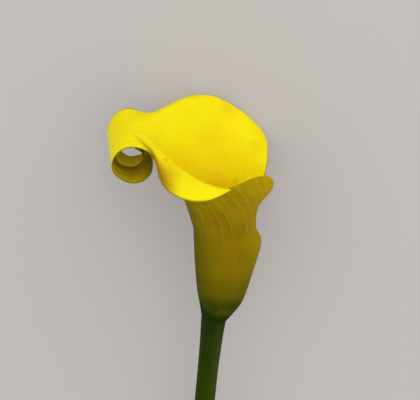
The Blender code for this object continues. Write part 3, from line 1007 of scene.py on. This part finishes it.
# %% [markdown]
# ### Stem
# A waxy dark green, painted darker than its own colour as painted shade, with long faint streaks, and a
# lighter band of painted light down either side. The streaks are noise that a Mapping node draws out along
# the stem, which is simpler than lines and never repeats. The fresh cut shows pale flesh with darker strands
# and a thin green skin round it.

# %% Finish: skin of the stem
# painted shade: these greens are darker than the stem's own colour
STEM_RAMP_WITH_SHADE = (         # depth below the bloom in shares of 180 mm, colour
    (0.0, STEM_SHADE_GREEN), (0.1, (0.0145, 0.033, 0.0006)), (0.25, (0.02, 0.04, 0.0007)),
    (1.0, (0.029, 0.052, 0.0012)),
)
LIGHT_FIBRE, DARK_FIBRE = (0.036, 0.06, 0.0012), (0.011, 0.027, 0.0005)
STEM_SEAM_SIDE_LIGHT, STEM_TIP_SIDE_LIGHT = (0.044, 0.066, 0.001), (0.034, 0.054, 0.0009)


def finish_stem():
    skin = Finish(stem_skin, roughness=0.48, specular=0.03, translucency=0.05, reach=0.5)
    vector, (x, _, height) = skin.growing_place()
    skin.ground(height, -0.18, STEM_RAMP_WITH_SHADE)
    long = skin.add("Mapping", {"Vector": vector, "Scale": (1.0, 1.0, 0.035)}).outputs[0]
    skin.over(LIGHT_FIBRE, (skin.cloud(long, 1500.0, 4.0), 0.42, 0.68, 0.0, 0.3))
    skin.over(DARK_FIBRE, (skin.cloud(long, 420.0, 2.0), 0.45, 0.7, 0.0, 0.4))
    # painted light: a lighter band down each side of the stem
    skin.over(STEM_SEAM_SIDE_LIGHT, (x, 0.0, 0.0045), (height, 0.0, -0.02, 0.25, 0.6))
    skin.over(STEM_TIP_SIDE_LIGHT, (x, -0.002, -0.005), (height, 0.0, -0.02, 0.1, 0.4))
    skin.wear(skin.fade(skin.cloud(long, 900.0), 0.2, 0.8, 0.4, 0.58),
              skin.cloud(long, 2600.0, 3.0), depth=0.06)


finish_stem()
print("stem skin:", len(stem_skin.node_tree.nodes), "nodes")

# %% Finish: flesh of the cut
FLESHES = (             # distance from the middle in shares of 5.5 mm, colour
    (0.0, (0.62, 0.66, 0.3)), (0.55, (0.52, 0.6, 0.22)), (0.8, (0.36, 0.47, 0.12)),
    (0.92, (0.11, 0.2, 0.022)),
)
STRAND = (0.22, 0.29, 0.05)


def finish_cut():
    flesh = Finish(stem_flesh, roughness=0.38, specular=0.4, translucency=0.2, reach=0.8)
    _, (x, y, _) = flesh.growing_place()
    flat = flesh.combine(x, y)
    from_middle = flesh.add("VectorMath", {0: flat}, operation="LENGTH").outputs["Value"]
    flesh.ground(from_middle, 0.0055, FLESHES)
    cells = flesh.add("TexVoronoi", {"Vector": flat, "Scale": 1150.0, "Randomness": 0.85})
    strands = cells.outputs["Distance"]
    flesh.over(STRAND, (strands, 0.32, 0.16, 0.0, 0.7))
    flesh.wear(relief=strands, depth=0.05)


finish_cut()
print("flesh:", len(stem_flesh.node_tree.nodes), "nodes")

# %% [markdown]
# ### Spadix
# Golden, powdery anthers stand above and pale green ovaries below. Two tones in soft noise are enough for
# each, because the small shadows between hundreds of florets do the rest.

# %% Finish: spadix
GOLDS, GREENS = ((0.84, 0.52, 0.012), (0.74, 0.38, 0.01)), ((0.52, 0.5, 0.05), (0.36, 0.4, 0.03))


def finish_florets(material, colours, roughness):
    skin = Finish(material, roughness, specular=0.15, translucency=0.1, reach=0.5)
    vector, _ = skin.growing_place()
    skin.colour, shade = colours
    skin.over(shade, (skin.cloud(vector, 700.0, 3.0), 0.35, 0.7))
    skin.wear(relief=skin.cloud(vector, 5200.0, 2.0), depth=0.05)


finish_florets(golden, GOLDS, 0.7)
finish_florets(greenish, GREENS, 0.5)
print("florets:", len(golden.node_tree.nodes), "nodes each")

# %% [markdown]
# ## Tie the pieces to the frame
# Each piece rides on the imported body and stands for the solid at its place, which is hidden.

# %% Ride and replace
body = next(iter(frame["bodies"]))
for piece, node in ((leaf, "spathe"), (stem, "stem"), (spadix, "spadix")):
    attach(piece, body)
    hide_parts(node)
    print(piece.name, "rides on", body)

# %% [markdown]
# ## Table, light and camera
# The flower lies on a plain pale table. One large soft light shines into the open bloom from beyond its
# mouth, two weaker ones round off its sides, and a pale room fills the rest, so the inside glows and the
# outside stays quiet. A small lamp would throw a black shadow. The paper also glows a little itself, to
# keep the shadow under the bloom faint.

# %% Table
TABLE_SIZE = 6.0        # in metres, past every edge of the view
TABLE_DROP = 0.0002     # just under the flower, so that no two faces share a place
PAPER, PAPER_LIGHT = (0.39, 0.368, 0.355), (0.394, 0.372, 0.359)
PAPER_GLOW = 0.155

deselect_all()
bpy.ops.mesh.primitive_plane_add(size=TABLE_SIZE, location=(0, 0, -TABLE_DROP))
table = bpy.context.object
table.name = "table_top"
paper = bpy.data.materials.new("table_paper")
sheet = Finish(paper, roughness=0.9, specular=0.0)
sheet.colour = PAPER
sheet.over(PAPER_LIGHT, sheet.cloud(sheet.add("TexCoord").outputs["Object"], 3.0, 1.0))
sheet.wear()
sheet.shader.inputs["Emission Color"].default_value = (1.0, 0.944, 0.912, 1)
sheet.shader.inputs["Emission Strength"].default_value = PAPER_GLOW
table.data.materials.append(paper)
print("table:", TABLE_SIZE, "m across")

# %% Light
BLOOM_MIDDLE = Vector(lay((-12, 0, 60)))
LIGHT_DISTANCE = 1.3
ROOM_LIGHT = 0.74


def soft_light(name, azimuth, elevation, size, power):
    """A square soft light aimed at the bloom. Azimuth 0 is beyond the bloom's mouth, 90 on its seam side."""
    a, e = radians(azimuth), radians(elevation)
    towards = Vector((sin(a) * cos(e), cos(a) * cos(e), sin(e)))
    lamp = bpy.data.lights.new(name, "AREA")
    lamp.shape = "SQUARE"
    lamp.size, lamp.energy = size, power
    obj = bpy.data.objects.new(name, lamp)
    obj.location = BLOOM_MIDDLE + towards * LIGHT_DISTANCE
    obj.rotation_euler = towards.to_track_quat("Z", "Y").to_euler()
    obj.visible_camera = False
    bpy.context.scene.collection.objects.link(obj)


soft_light("key", azimuth=25, elevation=36, size=1.6, power=7.0)
soft_light("seam_side", azimuth=110, elevation=38, size=1.4, power=1.5)
soft_light("tip_side", azimuth=275, elevation=38, size=1.4, power=2.1)

world = bpy.data.worlds.new("pale_room")
world.use_nodes = True
background = world.node_tree.nodes["Background"]
background.inputs["Color"].default_value = (1, 1, 1, 1)
background.inputs["Strength"].default_value = ROOM_LIGHT
bpy.context.scene.world = world
bpy.context.scene.view_settings.view_transform = "Standard"

# %% Camera
VIEW_ELEVATION = radians(28.0) - LIE_ANGLE      # off straight down, towards the mouth
VIEW_MIDDLE = (-9.1, 0.0, 63.3)         # on the growing flower
VIEW_WIDTH = 0.2016                     # at the flower
ROLL_OF_VIEW = (0.992, 0.127)           # cosine and sine of the angle that the view is turned by
CAMERA_DISTANCE = 1.6
back = Vector((0, sin(VIEW_ELEVATION), cos(VIEW_ELEVATION)))
right, up = Vector((1, 0, 0)), Vector((0, cos(VIEW_ELEVATION), -sin(VIEW_ELEVATION)))
turned_right = right * ROLL_OF_VIEW[0] + up * ROLL_OF_VIEW[1]
turned_up = up * ROLL_OF_VIEW[0] - right * ROLL_OF_VIEW[1]
lens = bpy.data.cameras.new("camera")
lens.lens = lens.sensor_width * CAMERA_DISTANCE / VIEW_WIDTH
camera = bpy.data.objects.new("camera", lens)
place = Vector(lay(VIEW_MIDDLE)) + back * CAMERA_DISTANCE
turn = Matrix((turned_right, turned_up, back)).transposed()
camera.matrix_world = Matrix.Translation(place) @ turn.to_4x4()
bpy.context.scene.collection.objects.link(camera)
bpy.context.scene.camera = camera
print("camera", CAMERA_DISTANCE, "m away, lens", round(lens.lens), "mm")
